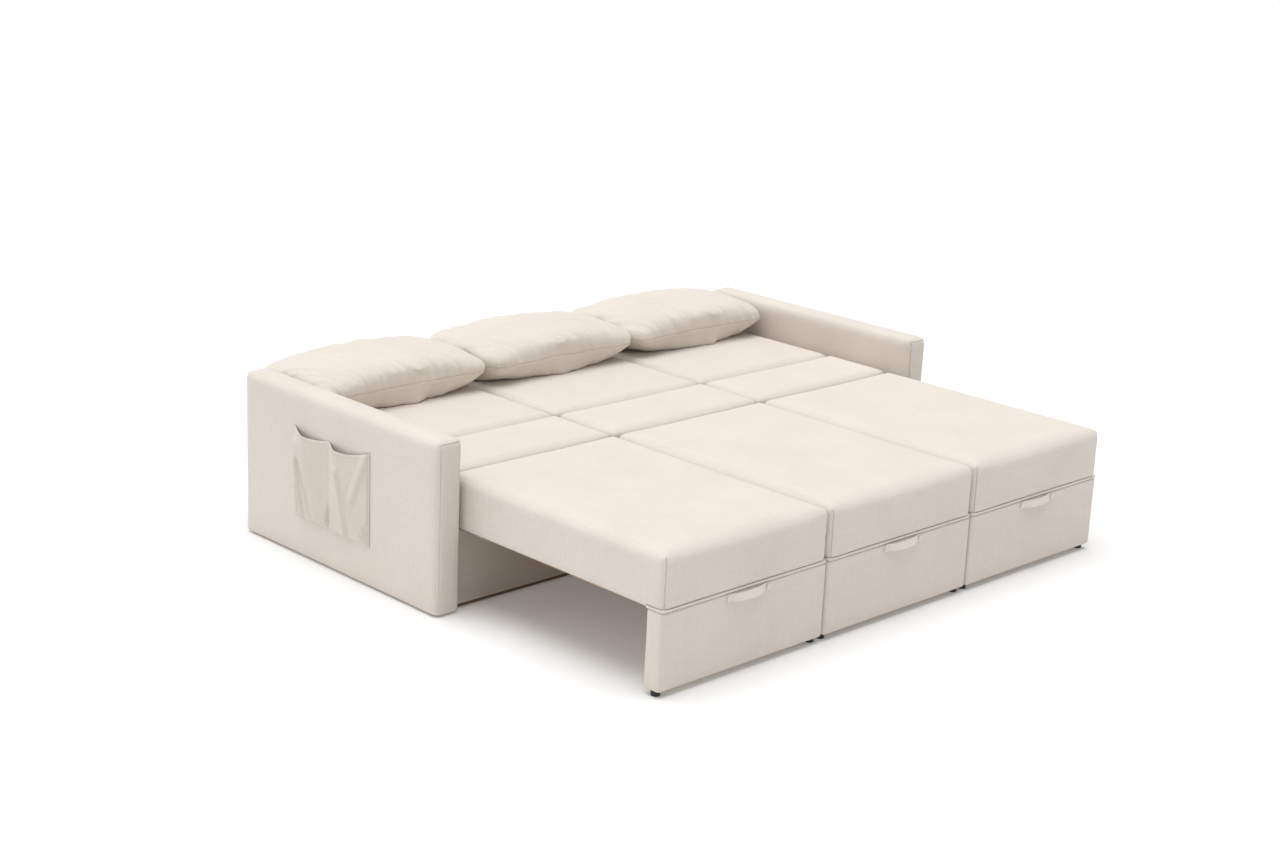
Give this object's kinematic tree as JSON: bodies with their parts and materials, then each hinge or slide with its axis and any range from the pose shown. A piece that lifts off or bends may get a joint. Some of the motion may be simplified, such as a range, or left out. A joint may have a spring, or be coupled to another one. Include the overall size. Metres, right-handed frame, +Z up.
{
  "type": "sofa bed",
  "caption": "Upholstered sofa bed opened flat, with seat units that slide in under tilting backs, low arms, a side pocket and loose pillows.",
  "frame": {"origin": "on the floor, midway between the arms and midway along the opened bed, from the handles to the far side of the pillows", "axes": "+X to the right arm as seen from the front, +Y to the back, +Z up"},
  "size_m": [2.1712, 1.854, 0.5463],
  "materials": {
    "upholstery_linen": "matte",
    "pillow_linen": "matte",
    "welt_linen": "matte",
    "handle_linen": "matte",
    "button_linen": "matte",
    "pocket_linen": "matte",
    "rear_linen": "matte",
    "raw_timber": "matte",
    "chipboard": "matte",
    "laminate_board": "matte",
    "black_plastic": "matte",
    "hinge_steel": "matte"
  },
  "bodies": {
    "base": {"left_arm_frame": "raw_timber", "right_arm_frame": "raw_timber", "left_arm_cover": "upholstery_linen", "right_arm_cover": "upholstery_linen", "side_pocket": "pocket_linen", "front_board": "laminate_board", "rear_board": "rear_linen", "seat_rails": "raw_timber", "floor_glides": "black_plastic"},
    "left_seat": {"left_seat_cushion": "upholstery_linen", "left_seat_frame": "raw_timber", "left_front_panel_cover": "upholstery_linen", "left_front_panel_core": "chipboard", "left_welt": "welt_linen", "left_handle_strap": "handle_linen", "left_handle_buttons": "button_linen", "left_front_feet": "black_plastic", "left_hinge_brackets": "hinge_steel"},
    "left_back": {"left_back_frame": "raw_timber", "left_bridge_pad": "upholstery_linen", "left_back_pad": "upholstery_linen", "left_hinge_pins": "hinge_steel", "left_back_legs": "black_plastic"},
    "left_pillow": {"left_pillow": "pillow_linen"},
    "middle_seat": {"middle_seat_cushion": "upholstery_linen", "middle_seat_frame": "raw_timber", "middle_front_panel_cover": "upholstery_linen", "middle_front_panel_core": "chipboard", "middle_welt": "welt_linen", "middle_handle_strap": "handle_linen", "middle_handle_buttons": "button_linen", "middle_front_feet": "black_plastic", "middle_hinge_brackets": "hinge_steel"},
    "middle_back": {"middle_back_frame": "raw_timber", "middle_bridge_pad": "upholstery_linen", "middle_back_pad": "upholstery_linen", "middle_hinge_pins": "hinge_steel", "middle_back_legs": "black_plastic"},
    "middle_pillow": {"middle_pillow": "pillow_linen"},
    "right_seat": {"right_seat_cushion": "upholstery_linen", "right_seat_frame": "raw_timber", "right_front_panel_cover": "upholstery_linen", "right_front_panel_core": "chipboard", "right_welt": "welt_linen", "right_handle_strap": "handle_linen", "right_handle_buttons": "button_linen", "right_front_feet": "black_plastic", "right_hinge_brackets": "hinge_steel"},
    "right_back": {"right_back_frame": "raw_timber", "right_bridge_pad": "upholstery_linen", "right_back_pad": "upholstery_linen", "right_hinge_pins": "hinge_steel", "right_back_legs": "black_plastic"},
    "right_pillow": {"right_pillow": "pillow_linen"}
  },
  "joints": [
    {"name": "left_seat_slide", "type": "slide", "parent": "base", "child": "left_seat", "axis": [0, 1, 0], "range_m": [0, 0.74]},
    {"name": "left_back_tilt", "type": "hinge", "parent": "left_seat", "child": "left_back", "pos_m": [-0.65, 0.042, 0.332], "axis": [1, 0, 0], "range_deg": [0, 90.01]},
    {"name": "left_pillow_slip", "type": "slide", "parent": "left_back", "child": "left_pillow", "axis": [0, -1, 0], "range_m": [0, 0.4225]},
    {"name": "middle_seat_slide", "type": "slide", "parent": "base", "child": "middle_seat", "axis": [0, 1, 0], "range_m": [0, 0.74]},
    {"name": "middle_back_tilt", "type": "hinge", "parent": "middle_seat", "child": "middle_back", "pos_m": [0, 0.042, 0.332], "axis": [1, 0, 0], "range_deg": [0, 90.01]},
    {"name": "middle_pillow_slip", "type": "slide", "parent": "middle_back", "child": "middle_pillow", "axis": [0, -1, 0], "range_m": [0, 0.4225]},
    {"name": "right_seat_slide", "type": "slide", "parent": "base", "child": "right_seat", "axis": [0, 1, 0], "range_m": [0, 0.74]},
    {"name": "right_back_tilt", "type": "hinge", "parent": "right_seat", "child": "right_back", "pos_m": [0.65, 0.042, 0.332], "axis": [1, 0, 0], "range_deg": [0, 90.01]},
    {"name": "right_pillow_slip", "type": "slide", "parent": "right_back", "child": "right_pillow", "axis": [0, -1, 0], "range_m": [0, 0.4225]}
  ],
  "couplings": [
    {"joint": "left_back_tilt", "follows": "left_seat_slide", "rad_per_m": 2.1227},
    {"joint": "left_pillow_slip", "follows": "left_seat_slide", "ratio": 0.57027},
    {"joint": "middle_back_tilt", "follows": "middle_seat_slide", "rad_per_m": 2.1227},
    {"joint": "middle_pillow_slip", "follows": "middle_seat_slide", "ratio": 0.57027},
    {"joint": "right_back_tilt", "follows": "right_seat_slide", "rad_per_m": 2.1227},
    {"joint": "right_pillow_slip", "follows": "right_seat_slide", "ratio": 0.57027}
  ]
}
